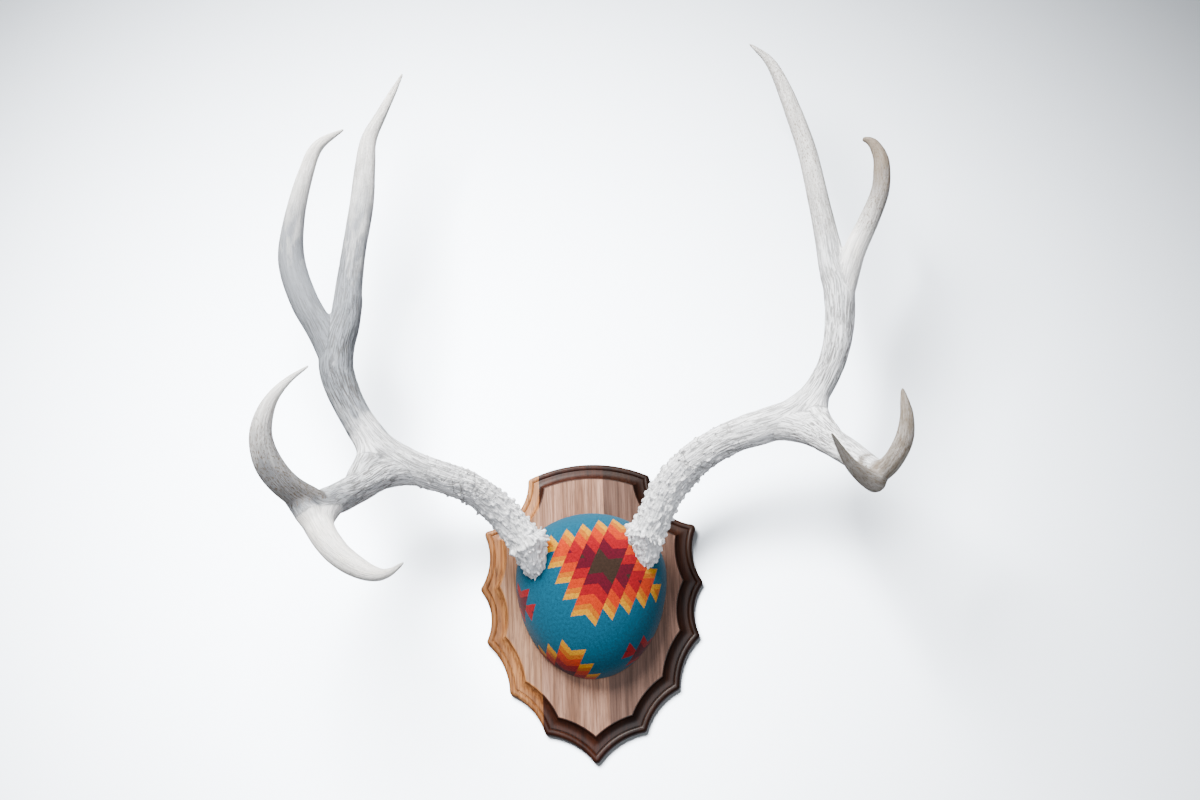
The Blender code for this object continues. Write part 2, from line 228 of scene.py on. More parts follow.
MIDDLE = (0.0, -0.1, 0.15)
area_light("window", (-0.75, -1.75, 1.35), MIDDLE, 1.0, 172, "#FFFDF9")
area_light("room_fill", (0.25, -2.3, -0.4), MIDDLE, 1.4, 42, "#F8FAFF")
area_light("wall_window", (-0.35, -1.25, 0.5), (-0.12, 0.0, 0.07), 0.62, 56, "#F4F9FF", backdrop, 73)
skylight = area_light("skylight", (-0.1, -0.4, 1.5), MIDDLE, 1.1, 52, "#FFFFFF")
skylight.visible_glossy = False            # it has no glint in the lacquer
world = bpy.data.worlds.new("white_room")
world.use_nodes = True
world.node_tree.nodes["Background"].inputs["Color"].default_value = linear("#F6F9FF")
world.node_tree.nodes["Background"].inputs["Strength"].default_value = 0.34
bpy.context.scene.world = world

# %% [markdown]
# ## The plaque's walnut
#
# The plaque is glued up from three walnut boards with upright grain, so the
# wood is a solid pattern in object space: long fibres run along Z, and the
# scallops cut through them as a router does. Each board has its own tone,
# picked by its place along X. The moulded edge is richer and glossier than
# the flat field, where a satin lacquer scatters the light. On the edge the
# boards' tones also carry painted light: pale on the left board, as a
# moulding lit from the left looks, and painted shade, near black, on the
# middle and right boards, where the moulding faces from the light.

# %% Walnut under lacquer
GLUE_LINES = (-51.0 * MM, 14.5 * MM)      # where the three boards meet


def walnut(name, boards, pore, roughness, coat):
    """Lacquered walnut: three boards, growth bands and open pores along Z."""
    material, tree, shader = new_material(name, Roughness=roughness, Coat_Weight=coat,
                                          Coat_Roughness=0.15, Specular_IOR_Level=0.2)
    place = put(tree, "ShaderNodeTexCoord").outputs["Object"]
    across = put(tree, "ShaderNodeSeparateXYZ", {0: place})
    left = put(tree, MATH, {0: across, 1: GLUE_LINES[0]}, operation="LESS_THAN")
    right = put(tree, MATH, {0: across, 1: GLUE_LINES[1]}, operation="GREATER_THAN")
    wood = put(tree, MIX, {0: left, 6: linear(boards[1]), 7: linear(boards[0])}, data_type="RGBA")
    wood = put(tree, MIX, {0: right, 6: wood, 7: linear(boards[2])}, data_type="RGBA")
    # Each board takes its grain from another part of the noise
    board = put(tree, MATH, {0: right, 1: 8.9}, operation="MULTIPLY")
    board = put(tree, MATH, {0: left, 1: 3.7, 2: board}, operation="MULTIPLY_ADD")

    def along_grain(width_mm, length_mm):
        """A noise with features this wide across the fibres and this long."""
        scale = (1 / (width_mm * MM), 1 / (width_mm * MM), 1 / (length_mm * MM))
        point = put(tree, "ShaderNodeMapping", {"Vector": place, "Scale": scale})
        return put(tree, NOISE, {"Vector": point, "W": board, "Scale": 1.0, "Detail": 4.0,
                                 "Roughness": 0.6}, noise_dimensions="4D")

    # Growth bands, and the finer streaks between them, as width, length, reach and shade
    for width, length, low, high, shade in ((9.0, 170.0, 0.35, 0.62, "#B4A598"),
                                            (1.5, 48.0, 0.38, 0.6, "#BFB3A9")):
        dark = put(tree, RANGE, {0: along_grain(width, length), 1: low, 2: high, 3: 1.0, 4: 0.0})
        wood = put(tree, MIX, {0: dark, 6: wood, 7: linear(shade)}, data_type="RGBA", blend_type="MULTIPLY")
    # Real pores are about 0.2 mm wide, too fine to show, so these are drawn coarser
    pores = put(tree, RANGE, {0: along_grain(0.9, 14.0), 1: 0.54, 2: 0.64})
    filled = put(tree, MATH, {0: pores, 1: 0.6}, operation="MULTIPLY")
    wood = put(tree, MIX, {0: filled, 6: wood, 7: linear(pore)}, data_type="RGBA")
    bump = put(tree, "ShaderNodeBump", {"Strength": 0.2, "Distance": 0.1 * MM, "Height": pores}, invert=True)
    cover(tree, shader, wood, bump)
    return material


FIELD = walnut("satin_walnut", ("#AC8468", "#A67F6A", "#694D41"), "#4E3A30", 0.55, 0.03)
# On the edge, the left board's tone is painted light and the middle and right boards' tones are painted shade
EDGE_WITH_PAINTED_LIGHT = walnut("glossy_walnut_with_painted_light", ("#AE7748", "#38190C", "#281105"), "#1A0E07", 0.42, 0.0)
print("glue lines at", [round(x / MM, 1) for x in GLUE_LINES], "mm")

# %% [markdown]
# ## The plaque's shape
#
# Its outline is a chain of arcs: a shallow arch, two concave necks, and five
# scallops down each side that meet in points. Moving every arc inwards by the
# same distance and meeting them again gives the outline at any depth of the
# moulding, which also mitres the corners as a router's cut does. The board is
# a loft through those outlines.

# %% Outline of arcs
PLAQUE_THICK = 19.0
ARCH_R, ARCH_Z, ARCH_END = 143.0, 7.0, (62.0, 136.0)
NECK_R, NECK_AT = 50.0, (112.0, 133.0)
SHOULDER = (106.6, 79.0)
POINTS = [(112.2, 24.0, 7.0), (106.6, -29.4, 8.0), (83.8, -80.8, 6.0),
          (49.4, -121.6, 6.0), (0.0, -153.0, 6.5)]      # x, z and scallop depth
POINT_R, ARC_STEPS, POINT_STEPS = 4.0, 18, 6


def scallop(a, b, depth):
    """The circle that bites depth deep between two points of the outline."""
    a, b = Vector(a[:2]), Vector(b[:2])
    chord = b - a
    radius = (chord.length_squared / 4 + depth * depth) / (2 * depth)
    out = Vector((-chord.y, chord.x)).normalized()
    return ((a + b) / 2 + out * (radius - depth), radius, -1)


def plaque_arcs():
    """The outline's arcs clockwise from the arch, and the end of each."""
    side = [SHOULDER] + POINTS
    right = [(Vector(NECK_AT), NECK_R, -1)]
    right += [scallop(above, below, below[2]) for above, below in zip(side, POINTS)]
    left = [(Vector((-c.x, c.y)), r, k) for c, r, k in reversed(right)]
    ends = [Vector(ARCH_END)] + [Vector(p[:2]) for p in side]
    ends += [Vector((-p.x, p.y)) for p in reversed(ends[:-1])]
    return [(Vector((0.0, ARCH_Z)), ARCH_R, 1)] + right + left, ends


ARCS, ENDS = plaque_arcs()
print("outline of", len(ARCS), "arcs")

# %% Outline moved inwards
def crossing(one, two, near, inset):
    """Where two arcs meet once the outline is moved in by inset."""
    (c1, r1, k1), (c2, r2, k2) = one, two
    r1, r2 = r1 - k1 * inset, r2 - k2 * inset
    between = c2 - c1
    along = (r1 * r1 - r2 * r2 + between.length_squared) / (2 * between.length)
    foot = c1 + between.normalized() * along
    side = Vector((-between.y, between.x)).normalized()
    side *= math.sqrt(max(r1 * r1 - along * along, 0.0))
    return min((foot + side, foot - side), key=lambda p: (p - near).length)


def fan(start, end, steps):
    """Unit directions from start towards end the short way, end left out."""
    first = math.atan2(start.y, start.x)
    sweep = (math.atan2(end.y, end.x) - first + math.pi) % (2 * math.pi) - math.pi
    return [Vector((math.cos(first + sweep * i / steps), math.sin(first + sweep * i / steps)))
            for i in range(steps)]


def outline(inset):
    """The plaque's outline moved in by inset, its points rounded."""
    rounding = max(POINT_R - inset, 0.0)
    corners = []
    for i, arc in enumerate(ARCS):
        after = ARCS[(i + 1) % len(ARCS)]
        hub = crossing(arc, after, ENDS[i], max(inset, POINT_R))
        ways = [((hub - centre) * kind).normalized() for centre, _, kind in (arc, after)]
        corners.append((hub, *ways))
    points = []
    for i, (centre, radius, kind) in enumerate(ARCS):
        from_hub, _, leaving = corners[i - 1]
        hub, arriving, turning = corners[i]
        start = from_hub + leaving * rounding - centre
        end = hub + arriving * rounding - centre
        points += [centre + way * (radius - kind * inset) for way in fan(start, end, ARC_STEPS)]
        points += [hub + way * rounding for way in fan(arriving, turning, POINT_STEPS)]
    return points


print("outline has", len(outline(0.0)), "points")

# %% Moulding of bead, quirk, cove and lip
WELD = 0.01                                # points closer than this are one point
CREASE = math.radians(28)                  # edges sharper than this stay crisp


def quarter(centre, wide, high, first, last, steps):
    """Points on an ellipse from one angle to another, in degrees."""
    angles = [math.radians(first + (last - first) * i / steps) for i in range(steps + 1)]
    return [(centre[0] + wide * math.cos(a), centre[1] + high * math.sin(a)) for a in angles]


# The profile as (distance in from the edge, height above the wall)
BEAD = quarter((3.5, 7.4), 3.5, 3.8, 180, 38, 9)
COVE = quarter((8.3, 17.8), 8.6, 6.8, 270, 358, 9)
LIP = quarter((17.6, 18.4), 0.6, 0.6, 180, 90, 3)
MOULDING = [(0.0, 0.0), (0.0, 5.5)] + BEAD + [(6.9, 9.9), (7.05, 10.9)] + COVE + LIP + [(18.2, PLAQUE_THICK)]


def make_plaque():
    """The board, lofted through its moulding from the back to the field."""
    bm = bmesh.new()
    rings = [[bm.verts.new((p.x * MM, -height * MM, p.y * MM)) for p in outline(inset)]
             for inset, height in MOULDING]
    for lower, upper in zip(rings, rings[1:]):
        for i in range(len(lower)):
            j = (i + 1) % len(lower)
            bm.faces.new((lower[i], lower[j], upper[j], upper[i]))
    bm.faces.new(rings[0])
    field = bm.faces.new(rings[-1])
    field.material_index = 1
    bmesh.ops.remove_doubles(bm, verts=bm.verts[:], dist=WELD * MM)
    piece = add_piece("plaque_board", bm, EDGE_WITH_PAINTED_LIGHT, FIELD)
    piece.data.shade_smooth()
    piece.data.set_sharp_from_angle(angle=CREASE)
    return piece


settle(make_plaque(), "walnut", "plaque")

# %% [markdown]
# ## The skull cap's blanket
#
# A wool blanket is pulled tight over the padded skull cap and tucked under
# at its rim. The shape is half of an egg whose sides are fuller than a
# sphere's. Each point also keeps its distance along the cloth from the crown
# as its UV, so the pattern lies on the dome as real cloth would.

# %% Dome of stretched cloth
CAP_WIDE, CAP_UP, CAP_DOWN = 75.0, 63.0, 101.0
CAP_RISE, CAP_Z, CAP_POWER = 60.0, 30.0, 2.5
TUCK, TUCK_TOP = 3.2, 4.0                  # how far the rim rolls under, and up to what height
GAP = 0.3                                  # the cap's clearance from the board
EASE = 0.35                                # how uneven the cloth lies
CLOTH_SHEET = 300.0                        # size of the cloth that UV 0 to 1 spans
COLUMNS, ROWS, CROWDING = 160, 72, 1.15    # rows crowd a little towards the rim
RIM_CREASE = math.radians(60)


def dome_point(turn_angle, lift_angle):
    """A point of the dome: lift runs from the rim, 0, to the crown."""
    power = 2.0 / CAP_POWER
    tall = CAP_UP if math.sin(turn_angle) > 0 else CAP_DOWN
    spread = math.cos(lift_angle) ** power
    rise = CAP_RISE * math.sin(lift_angle) ** power
    tucked = TUCK * max(0.0, 1.0 - rise / TUCK_TOP) ** 2
    reach = Vector((CAP_WIDE * math.cos(turn_angle), tall * math.sin(turn_angle))) * spread
    reach -= reach.normalized() * tucked
    ease = EASE * math.sin(5 * turn_angle + 1.3) * math.cos(lift_angle) * math.sin(2 * lift_angle)
    return Vector((reach.x, -(PLAQUE_THICK + GAP + rise + ease), CAP_Z + reach.y))


def make_cap(material):
    """The dome of cloth with its UV map, closed at its back."""
    bm = bmesh.new()
    uv_layer = bm.loops.layers.uv.new("weave")
    crown = bm.verts.new(dome_point(0.0, math.pi / 2) * MM)
    places = {crown: (0.5, 0.5)}
    grid = []
    for column in range(COLUMNS):
        angle = 2 * math.pi * column / COLUMNS
        line, last, travelled = [], dome_point(angle, math.pi / 2), 0.0
        for row in range(1, ROWS + 1):
            lift = math.pi / 2 * (1 - row / ROWS) ** CROWDING
            point = dome_point(angle, lift)
            travelled += (point - last).length
            last = point
            v = bm.verts.new(point * MM)
            flat = Vector((point.x, point.z - CAP_Z)).normalized() * travelled / CLOTH_SHEET
            places[v] = (0.5 + flat.x, 0.5 + flat.y)
            line.append(v)
        grid.append(line)
    for column in range(COLUMNS):
        here, there = grid[column], grid[(column + 1) % COLUMNS]
        bm.faces.new((crown, here[0], there[0]))
        for row in range(ROWS - 1):
            bm.faces.new((here[row], here[row + 1], there[row + 1], there[row]))
    bm.faces.new([line[-1] for line in grid])
    for face in bm.faces:
        for loop in face.loops:
            loop[uv_layer].uv = places[loop.vert]
    piece = add_piece("blanket_cap", bm, material)
    piece.data.shade_smooth()
    piece.data.set_sharp_from_angle(angle=RIM_CREASE)
    return piece

# %% [markdown]
# ## The blanket's weave
#
# The cloth is a napped wool blanket with a teal ground. Its pattern here is a
# plain lattice of nested diamonds with saw-toothed edges, graded from brown
# at the heart through crimson, red and orange to yellow. Rounding the cloth's
# coordinates to columns gives the teeth, as a loom does, a slant inside each
# column leans them, and a Color Ramp without blending turns the distance from
# a diamond's heart into bands.

# %% Wool blanket material
DIAMOND_WIDE, DIAMOND_TALL = 156.0, 140.0  # the lattice's repeat, in mm
COLUMN, LEAN = 13.0, 0.55                  # a column of the weave and the slant of its teeth
PATTERN_TURN, PATTERN_SHIFT = math.radians(24), (-14.0, -6.0, 0.0)
WOOL = {"teal": "#004D66", "yellow": "#BE8000", "amber": "#AE5A00", "orange": "#B02C00",
        "red": "#8C0010", "crimson": "#500018", "brown": "#2E1F16"}
# Where each colour begins, from a diamond's heart to the lattice's far corner
BANDS = [(0.0, "brown"), (0.05, "crimson"), (0.13, "red"), (0.21, "orange"), (0.28, "amber"),
         (0.32, "yellow"), (0.362, "teal"), (0.76, "red"), (0.82, "crimson"), (0.9, "brown")]


def wool_blanket():
    """Napped wool: the lattice of diamonds in dyed bands, with a fuzzy edge and painted shade in the nap."""
    material, tree, shader = new_material("woven_wool", Roughness=1.0, Sheen_Weight=0.06,
                                          Sheen_Roughness=0.5, Specular_IOR_Level=0.2)
    cloth = put(tree, "ShaderNodeUVMap", uv_map="weave")
    laid = put(tree, "ShaderNodeMapping", {"Vector": cloth, "Location": (-0.5, -0.5, 0.0)})
    laid = put(tree, "ShaderNodeMapping", {"Vector": laid, "Rotation": (0, 0, PATTERN_TURN),
                                           "Scale": (CLOTH_SHEET, CLOTH_SHEET, 1.0),
                                           "Location": PATTERN_SHIFT})
    # The nap frays the edge of each colour
    fuzz = put(tree, NOISE, {"Vector": laid, "Scale": 1 / 1.3}).outputs["Color"]
    nudge = put(tree, VECTOR_MATH, {0: fuzz, 1: (0.5, 0.5, 0.5)}, operation="SUBTRACT")
    nudge = put(tree, VECTOR_MATH, {0: nudge, "Scale": 1.8}, operation="SCALE")
    loose = put(tree, VECTOR_MATH, {0: laid, 1: nudge}, operation="ADD")
    parts = put(tree, "ShaderNodeSeparateXYZ", {0: loose}).outputs

    folded = put(tree, MATH, {0: parts["X"], 1: DIAMOND_WIDE / 2}, operation="PINGPONG")
    column = put(tree, MATH, {0: folded, 1: COLUMN}, operation="SNAP")
    inside = put(tree, MATH, {0: folded, 1: column}, operation="SUBTRACT")
    up = put(tree, MATH, {0: parts["Y"], 1: DIAMOND_TALL / 2}, operation="PINGPONG")
    leaning = put(tree, MATH, {0: inside, 1: -LEAN, 2: up}, operation="MULTIPLY_ADD")
    reach = put(tree, MATH, {0: column, 1: DIAMOND_TALL / DIAMOND_WIDE, 2: leaning}, operation="MULTIPLY_ADD")
    reach = put(tree, MATH, {0: reach, 1: DIAMOND_TALL}, operation="DIVIDE")
    dye_and_nap_shade = put(tree, "ShaderNodeValToRGB", {0: reach})
    dye_and_nap_shade.color_ramp.interpolation = "CONSTANT"
    stops = dye_and_nap_shade.color_ramp.elements
    while len(stops) < len(BANDS):
        stops.new(1.0)
    for stop, (position, colour) in zip(stops, BANDS):
        stop.position = position
        stop.color = linear(WOOL[colour])

    # Real fibres are about 0.03 mm thick, so the nap is drawn as tufts of them; painted shade darkens the low
    # parts between the tufts
    nap = put(tree, NOISE, {"Vector": laid, "Scale": 1 / 0.8, "Detail": 3.0, "Roughness": 0.75})
    tufts = put(tree, NOISE, {"Vector": laid, "Scale": 1 / 2.6})
    height = put(tree, MATH, {0: tufts, 1: 0.35, 2: nap}, operation="MULTIPLY_ADD")
    low = put(tree, RANGE, {0: height, 1: 0.486, 2: 0.81, 3: 1.0, 4: 0.0})
    dye_and_nap_shade = put(tree, MIX, {0: low, 6: dye_and_nap_shade, 7: linear("#9C9C9C")}, data_type="RGBA", blend_type="MULTIPLY")
    cover(tree, shader, dye_and_nap_shade, put(tree, "ShaderNodeBump", {"Strength": 0.55, "Distance": 0.5 * MM,
                                                           "Height": height}))
    return material


cap = make_cap(wool_blanket())
settle(cap, "blanket", "cap")

# %% [markdown]
# ## Antler centre lines
#
# An antler grows as round limbs that fork and taper to points. Each limb is
# a few stations of position and radius in millimetres, and a Catmull-Rom
# curve runs smoothly through them. They are the stations of the solids, but
# for the beams' roots and the webs of the left antler, which are a little
# eased here. Left and right are the viewer's, and the sides differ as real
# ones do.

# %% Stations of both antlers
LEFT = {
    "beam": [(-50, -56, 28, 11), (-56, -72, 41, 14.5), (-60, -78, 53, 16.5),
             (-71, -84, 68, 16.5), (-85, -93, 84, 15.8),
             (-110, -113, 102, 15.5), (-139, -132, 110, 15.5),
             (-165, -148, 117, 15.8), (-192, -161, 133, 15),
             (-211, -168, 157, 15)],
    "rear_stem": [(-192, -161, 133, 14.5), (-211, -168, 157, 15),
                  (-224, -173, 183, 15.5), (-231, -178, 206, 16.5),
                  (-229, -182, 228, 16), (-222, -185, 252, 14.5),
                  (-219, -186, 275, 13.5)],
    "rear_inner_tine": [(-222, -185, 252, 14.5), (-216, -186, 312, 11.8),
                        (-209, -180, 370, 11.8), (-207, -173, 415, 10.2),
                        (-205, -165, 448, 8), (-194, -159, 478, 5.8),
                        (-184, -152, 505, 4), (-174, -147, 530, 1.6)],
    "rear_outer_tine": [(-231, -180, 208, 12), (-245, -187, 242, 13.5),
                        (-260, -194, 270, 13.5), (-271, -202, 308, 12.8),
                        (-267, -211, 348, 9.8), (-256, -216, 392, 7.5),
                        (-245, -217, 418, 5.8), (-221, -214, 436, 1.6)],
    "front_stem": [(-150, -137, 112, 12), (-174, -152, 111, 14),
                   (-192, -168, 103, 14.5), (-208, -195, 85, 14.2),
                   (-221, -232, 66, 13.6), (-231, -265, 54, 12.6),
                   (-243, -285, 57, 12)],
    "front_upper_tine": [(-231, -265, 54, 12.6), (-249, -296, 62, 12),
                         (-262, -313, 77, 12.3), (-267, -326, 96, 10.3),
                         (-264, -332, 114, 8.2), (-256, -334, 131, 5.6),
                         (-243, -333, 146, 3.4), (-227, -329, 159, 1.6)],
    "front_lower_tine": [(-220, -228, 68, 11), (-228, -264, 43, 13.8),
                         (-222, -286, 25, 12.3), (-206, -307, 3, 11),
                         (-188, -325, -13, 9.4), (-170, -342, -24, 6.8),
                         (-156, -352, -26, 4), (-142, -359, -19, 1.6)],
    "web": [(-214, -168, 156, 12), (-200, -168, 126, 12.5),
            (-208, -188, 92, 12.5)],
    "front_web": [(-248, -292, 62, 9.5), (-240, -285, 49, 11),
                  (-228, -281, 33, 11)],
}
RIGHT = {
    "beam": [(51, -55, 34, 11), (56, -70, 49, 14.5), (56, -76, 60, 16),
             (65, -83, 77, 16.8), (75, -93, 95, 17.2),
             (91, -107, 112, 17.2), (111, -122, 126, 16.6),
             (142, -140, 138, 16), (170, -153, 143, 16.8),
             (194, -163, 149, 15.8), (213, -171, 163, 13.5)],
    "rear_stem": [(194, -163, 149, 14.5), (213, -171, 163, 13.5),
                  (229, -178, 185, 12.7), (238, -183, 208, 13.2),
                  (243, -186, 235, 14.1), (244, -188, 262, 14.6),
                  (239, -189, 290, 13.1), (237, -189, 312, 12)],
    "rear_inner_tine": [(241, -189, 275, 13.6), (237, -189, 309, 12),
                        (232, -186, 352, 10.5), (225, -178, 412, 9.6),
                        (215, -168, 462, 8.6), (206, -161, 498, 7),
                        (196, -154, 526, 5), (178, -148, 549, 1.6)],
    "rear_outer_tine": [(241, -186, 240, 9), (248, -190, 262, 11),
                        (259, -197, 296, 10.8), (275, -203, 327, 9.7),
                        (287, -207, 354, 8.8), (290.5, -209, 378, 8.2),
                        (289.5, -209, 391, 7.1), (285, -208, 403, 5.4),
                        (280, -207, 408, 4), (274.5, -206, 410, 2.4)],
    "front_stem": [(168, -152, 141, 12.5), (192, -163, 140, 15),
                   (211, -180, 129, 14.8), (224, -208, 110, 13),
                   (236, -238, 90, 12), (245, -264, 72, 11.2),
                   (251, -286, 61, 9.6)],
    "front_outer_tine": [(245, -264, 72, 11.2), (251, -286, 61, 9.6),
                         (260, -303, 64, 8.6), (270, -315, 80, 8.1),
                         (273, -321, 98, 6.2), (272, -322, 112, 4.2),
                         (271, -322, 124, 1.6)],
    "front_inner_tine": [(232, -230, 96, 8), (243, -265, 69, 9.6),
                         (247, -291, 51, 9.6), (234, -308, 53, 7.4),
                         (221, -324, 61, 5.1), (205, -349, 79, 1.6)],
    "web": [(222, -177, 178, 10.5), (216, -178, 146, 11.5),
            (226, -206, 113, 10.5)],
}
BURR_STATION = 2                           # the beam's station that the burr grows at
# How far each limb has browned, and how much grey its chalk carries, partly
# grey weathering and partly painted shade where a limb turns from the light,
# at its root and its tip. Below 0 is none, and above 1 is no more than 1.
STAINED = {"left": {"front_upper_tine": (0.8, -0.2), "front_lower_tine": (0.0, 0.1),
                    "rear_inner_tine": (0.0, 0.2), "rear_outer_tine": (0.0, 0.1)},
           "right": {"front_outer_tine": (1.1, 1.3), "front_inner_tine": (1.2, 1.0),
                     "rear_inner_tine": (0.1, 0.4), "rear_outer_tine": (-1.3, 2.1)}}
GREYED_AND_SHADED = {"left": {"rear_stem": (0.9, 1.6), "front_stem": (0.2, 0.9),
                   "front_upper_tine": (1.9, -0.6), "rear_inner_tine": (1.3, -0.2),
                   "rear_outer_tine": (2.6, -0.6)},
          "right": {"rear_stem": (0.0, 0.3), "rear_inner_tine": (0.4, 0.5),
                    "rear_outer_tine": (-1.0, 1.6), "front_outer_tine": (0.4, 0.4),
                    "front_inner_tine": (0.5, 0.4)}}
print("limbs:", len(LEFT), "left and", len(RIGHT), "right")

# %% Smooth centre lines
LINE_STEP = 2.0


def centre_line(stations):
    """Catmull-Rom points through the stations, as rows of x, y, z, radius."""
    pts = [Vector(s) for s in stations]
    pts = [pts[0] * 2 - pts[1]] + pts + [pts[-1] * 2 - pts[-2]]
    line = []
    for a, b, c, d in zip(pts, pts[1:], pts[2:], pts[3:]):
        steps = max(1, round((c - b).to_3d().length / LINE_STEP))
        for t in (i / steps for i in range(steps)):
            line.append(0.5 * (2 * b + (c - a) * t + (2 * a - 5 * b + 4 * c - d) * t ** 2
                               + (3 * b - a - 3 * c + d) * t ** 3))
    return np.array(line + [pts[-2]])


def walk(line, first_side, first_length):
    """Directions, a side direction that doesn't twist, and lengths, along a line."""
    along = np.gradient(line[:, :3], axis=0)
    along /= np.linalg.norm(along, axis=1)[:, None]
    pieces = np.linalg.norm(np.diff(line[:, :3], axis=0), axis=1)
    lengths = first_length + np.concatenate([[0], np.cumsum(pieces)])
    sides = []
    side = first_side
    for way in along:
        side = side - way * side.dot(way)
        side /= np.linalg.norm(side)
        sides.append(side)
    return along, np.array(sides), lengths


print("left beam has", len(centre_line(LEFT["beam"])), "points on its centre line")

# %% [markdown]
# ## A map of the bone
#
# Grooves, pearls and stains follow the way an antler grew. So every point of
# its skin is given a place in a straightened antler: its angle round the limb
# as a point on a circle, which has no seam, and its length from the root.
# Textures that read this place run along the limbs and round their bends.
# Where limbs fork, a child limb starts from its parent's side and length, so
# the grain flows on across the fork.

# %% Rows that describe each limb
GRAIN_R = 12.0                             # the circle that angles are laid on
PEARLED, PEARL_FADE = 0.8, 1.7             # part of the beam with pearls, and how fast they thin out
BURR_REACH = 6.5                           # mm that the burr's knobs reach from its station
WORN_FADE = 3.0                            # a tine is worn smooth from a third of its length on
# Columns of the table
PLACE, RADIUS, ALONG, SIDE, ACROSS = slice(0, 3), 3, slice(4, 7), slice(7, 10), slice(10, 13)
LENGTH, LIMB = 13, 19
ZONES = {"pearl": 14, "burr": 15, "tine": 16, "stain": 17, "grey_and_shade": 18}


def rank_of(name):
    """How many forks lie between a limb and the beam."""
    return 0 if name == "beam" else 2 if "tine" in name else 1


def faded(zones, name, part):
    """A zone's strength along a limb, from its root to its tip."""
    root, tip = zones.get(name, (0.0, 0.0))
    return root + (tip - root) * part


def limb_rows(side_name, limbs):
    """One table row per centre line point: place, axes, radius and zones."""
    rows, table = {}, []
    for name, stations in limbs.items():
        if "web" in name:
            continue
        line = centre_line(stations)
        side, length = np.array([0.0, 0.0, 1.0]), 0.0
        if name != "beam":
            away = {p: np.linalg.norm(rows[p]["line"][:, :3] - line[0, :3], axis=1)
                    for p in rows if rank_of(p) < rank_of(name)}
            parent = min(away, key=lambda p: away[p].min())
            near = away[parent].argmin()
            side, length = rows[parent]["sides"][near], rows[parent]["lengths"][near]
        along, sides, lengths = walk(line, side, length)
        rows[name] = {"line": line, "sides": sides, "lengths": lengths}
        part = np.linspace(0, 1, len(line))
        on_beam = name == "beam"
        pearl = np.clip(PEARL_FADE * (1 - part / PEARLED), 0, 1) if on_beam else part * 0
        burr_length = np.linalg.norm(line[:, :3] - np.array(stations[BURR_STATION][:3]), axis=1)
        burr = np.exp(-(burr_length / BURR_REACH) ** 2) if on_beam else part * 0
        tine = np.clip(part * WORN_FADE, 0, 1) if "tine" in name else part * 0
        stain = faded(STAINED[side_name], name, part)
        grey_and_shade = faded(GREYED_AND_SHADED[side_name], name, part)
        table.append(np.column_stack([line, along, sides, np.cross(along, sides), lengths,
                                      pearl, burr, tine, stain, grey_and_shade, part * 0 + len(rows)]))
    return np.vstack(table)


BONE = {"left": limb_rows("left", LEFT), "right": limb_rows("right", RIGHT)}
print("rows of the bone map:", {side: table.shape[0] for side, table in BONE.items()})

# %% Write the map on a mesh
ZONE_BLUR = 30                             # rounds of averaging that melt the zones together
BATCH = 8000                               # vertices that are measured at once
FORK_WIDTH, FORK_FULL = 0.5, 1.3           # a fork is where two limbs are about equally near


def set_attribute(mesh, name, values):
    """Stores one float or one vector per vertex."""
    kind = "FLOAT_VECTOR" if values.ndim == 2 else "FLOAT"
    layer = mesh.attributes.get(name) or mesh.attributes.new(name, kind, "POINT")
    field = "vector" if values.ndim == 2 else "value"
    layer.data.foreach_set(field, values.astype(np.float32).ravel())


def blur(mesh, values, rounds):
    """Averages values over each vertex's neighbours, so that zones melt together."""
    ends = np.empty(len(mesh.edges) * 2, int)
    mesh.edges.foreach_get("vertices", ends)
    ends = ends.reshape(-1, 2)
    tail = np.concatenate([ends[:, 0], ends[:, 1]])
    head = np.concatenate([ends[:, 1], ends[:, 0]])
    count = np.bincount(tail, minlength=len(values)) + 1.0
    for _ in range(rounds):
        values = (values + np.bincount(tail, weights=values[head], minlength=len(values))) / count
    return values


def map_bone(piece, table):
    """Gives each vertex its place in the straightened antler, and its zones."""
    mesh = piece.data
    points = np.empty(len(mesh.vertices) * 3)
    mesh.vertices.foreach_get("co", points)
    points = points.reshape(-1, 3) / MM
    nearest = np.empty(len(points), int)
    fork = np.empty(len(points))
    starts = np.flatnonzero(np.diff(table[:, LIMB], prepend=-1))
    for start in range(0, len(points), BATCH):
        some = slice(start, start + BATCH)
        away = np.square(points[some, None, :] - table[None, :, PLACE]).sum(2) / table[None, :, RADIUS] ** 2
        nearest[some] = away.argmin(1)
        limbs_away = np.sqrt(np.sort(np.minimum.reduceat(away, starts, axis=1), axis=1))
        fork[some] = np.clip(FORK_FULL - (limbs_away[:, 1] - limbs_away[:, 0]) / FORK_WIDTH, 0, 1)
    rows = table[nearest]
    offset = points - rows[:, PLACE]
    angle = np.arctan2((offset * rows[:, ACROSS]).sum(1), (offset * rows[:, SIDE]).sum(1))
    length = rows[:, LENGTH] + (offset * rows[:, ALONG]).sum(1)
    set_attribute(mesh, "grain", np.column_stack([GRAIN_R * np.cos(angle), GRAIN_R * np.sin(angle), length]))
    set_attribute(mesh, "along", rows[:, ALONG])
    for name, column in ZONES.items():
        set_attribute(mesh, name, blur(mesh, rows[:, column], ZONE_BLUR))
    set_attribute(mesh, "fork", blur(mesh, fork, ZONE_BLUR))


print("zones on the bone:", ", ".join(ZONES), "and fork")

# %% [markdown]
# ## Fusing the limbs
#
# Each limb is a tube lofted along its line. The tubes overlap where they
# fork, and a voxel remesh melts them into one skin, which smoothing then
# webs at the crotches as bone is. The burr starts as a swelling of the
# beam at its root.

# %% Tubes along the lines
TUBE_SIDES = 28
FUSE_VOXEL, FUSE_SMOOTH = 1.3, 16
BURR_HALF, BURR_SWELL, BURR_WIDTH = 7.0, 4.2, 3.6      # half length, height and spread in mm


